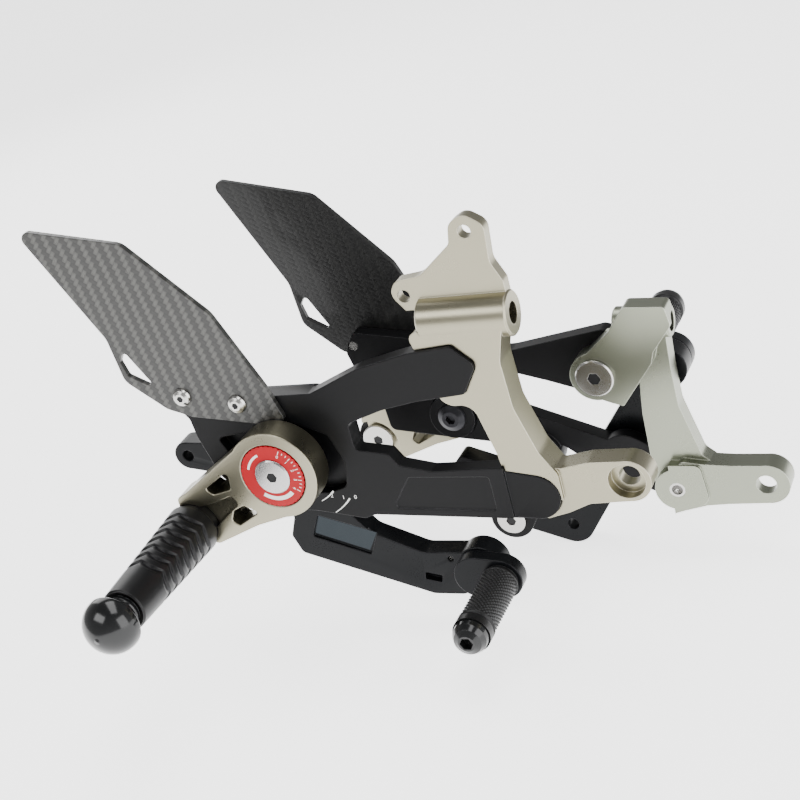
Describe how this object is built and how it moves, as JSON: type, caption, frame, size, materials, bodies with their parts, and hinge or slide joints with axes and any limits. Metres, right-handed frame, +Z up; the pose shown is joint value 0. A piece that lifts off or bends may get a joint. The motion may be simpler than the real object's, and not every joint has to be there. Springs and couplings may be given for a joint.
{
  "type": "rearset footrest pair",
  "caption": "Adjustable motorcycle rearset pair: brackets with frame adapters, heel guards, eccentric peg holders, ribbed foot pegs, brake lever, shift lever and toe pegs.",
  "frame": {"origin": "middle of the right frame bolt's bore, on its axis", "axes": "+X points to the front of the motorcycle, +Y from the right assembly to the left one, +Z up"},
  "size_m": [0.3356, 0.327, 0.244],
  "materials": {
    "black_anodised": "satin black anodised aluminium with bright chamfers",
    "black_lever": "satin black anodised aluminium",
    "champagne_anodised": "champagne anodised aluminium, fine satin",
    "silver_anodised": "grey-green anodised aluminium, milled",
    "red_anodised": "red anodised, satin",
    "carbon": "2 by 2 twill carbon fibre under clear lacquer",
    "bright_steel": "bright stainless steel",
    "polished_steel": "polished stainless steel",
    "dark_steel": "black oxide steel",
    "black_peg": "matt black anodised aluminium",
    "knob_black": "glossy black",
    "toe_grey": "dark grey anodised aluminium, knurled",
    "bronze": "plain bearing bronze"
  },
  "bodies": {
    "frame": {"right_bracket": "black_anodised", "right_frame_adapter": "champagne_anodised", "right_upper_arm_screw": "bright_steel", "right_lower_arm_dowel": "bright_steel", "right_heel_guard": "carbon", "right_guard_screws": "bright_steel", "right_lever_sleeve": "bright_steel", "right_pivot_bolt": "dark_steel", "right_pivot_washer": "bright_steel", "left_bracket": "black_anodised", "left_frame_adapter": "silver_anodised", "left_upper_arm_screw": "bright_steel", "left_lower_arm_dowel": "bright_steel", "left_heel_guard": "carbon", "left_guard_screws": "bright_steel", "left_lever_sleeve": "bright_steel", "left_pivot_bolt": "dark_steel", "left_pivot_washer": "black_anodised", "left_lever_bolt": "bright_steel", "left_lever_cap": "black_anodised"},
    "right_eccentric": {"right_eccentric_cam": "dark_steel", "right_eccentric_dial": "red_anodised", "right_clamp_disc": "polished_steel"},
    "right_holder": {"right_peg_holder": "champagne_anodised", "right_peg_screw": "bright_steel", "right_foot_peg": "black_peg", "right_peg_knob": "knob_black"},
    "right_lever": {"right_lever": "black_lever", "right_lever_bushes": "bronze", "right_toe_arm_bolt": "dark_steel"},
    "right_toe": {"right_toe_arm": "black_lever", "right_toe_sleeve": "toe_grey", "right_toe_bolt": "knob_black"},
    "left_eccentric": {"left_eccentric_cam": "dark_steel", "left_eccentric_dial": "red_anodised", "left_clamp_disc": "polished_steel"},
    "left_holder": {"left_peg_holder": "champagne_anodised", "left_peg_screw": "bright_steel", "left_foot_peg": "black_peg", "left_peg_knob": "knob_black"},
    "left_lever": {"left_lever": "black_lever", "left_lever_bushes": "bronze", "left_toe_arm_bolt": "dark_steel"},
    "left_toe": {"left_toe_arm": "black_lever", "left_toe_sleeve": "toe_grey", "left_toe_bolt": "knob_black"}
  },
  "joints": [
    {"name": "right_eccentric_turn", "type": "hinge", "parent": "frame", "child": "right_eccentric", "pos_m": [-0.1664, -0.021, 0.02025], "axis": [0, 1, 0], "range_deg": [-30, 30]},
    {"name": "right_holder_turn", "type": "hinge", "parent": "right_eccentric", "child": "right_holder", "pos_m": [-0.17, -0.024, 0.022], "axis": [0, 1, 0], "range_deg": [-20, 10]},
    {"name": "right_brake_lever_turn", "type": "hinge", "parent": "frame", "child": "right_lever", "pos_m": [-0.1664, 0.006, 0.02025], "axis": [0, 1, 0], "range_deg": [-5, 8]},
    {"name": "right_toe_arm_turn", "type": "hinge", "parent": "right_lever", "child": "right_toe", "pos_m": [-0.089, -0.004, -0.0535], "axis": [0, 1, 0], "range_deg": [-20, 20]},
    {"name": "left_eccentric_turn", "type": "hinge", "parent": "frame", "child": "left_eccentric", "pos_m": [-0.11388, 0.085, -0.00019], "axis": [0, 1, 0], "range_deg": [-30, 30]},
    {"name": "left_holder_turn", "type": "hinge", "parent": "left_eccentric", "child": "left_holder", "pos_m": [-0.1174, 0.088, 0.0017], "axis": [0, 1, 0], "range_deg": [-20, 10]},
    {"name": "left_shift_lever_turn", "type": "hinge", "parent": "frame", "child": "left_lever", "pos_m": [-0.09543, 0.08475, -0.06469], "axis": [0, 1, 0], "range_deg": [-8, 8]},
    {"name": "left_toe_arm_turn", "type": "hinge", "parent": "left_lever", "child": "left_toe", "pos_m": [-0.00037, 0.094, 0.01322], "axis": [0, 1, 0], "range_deg": [-20, 20]}
  ]
}
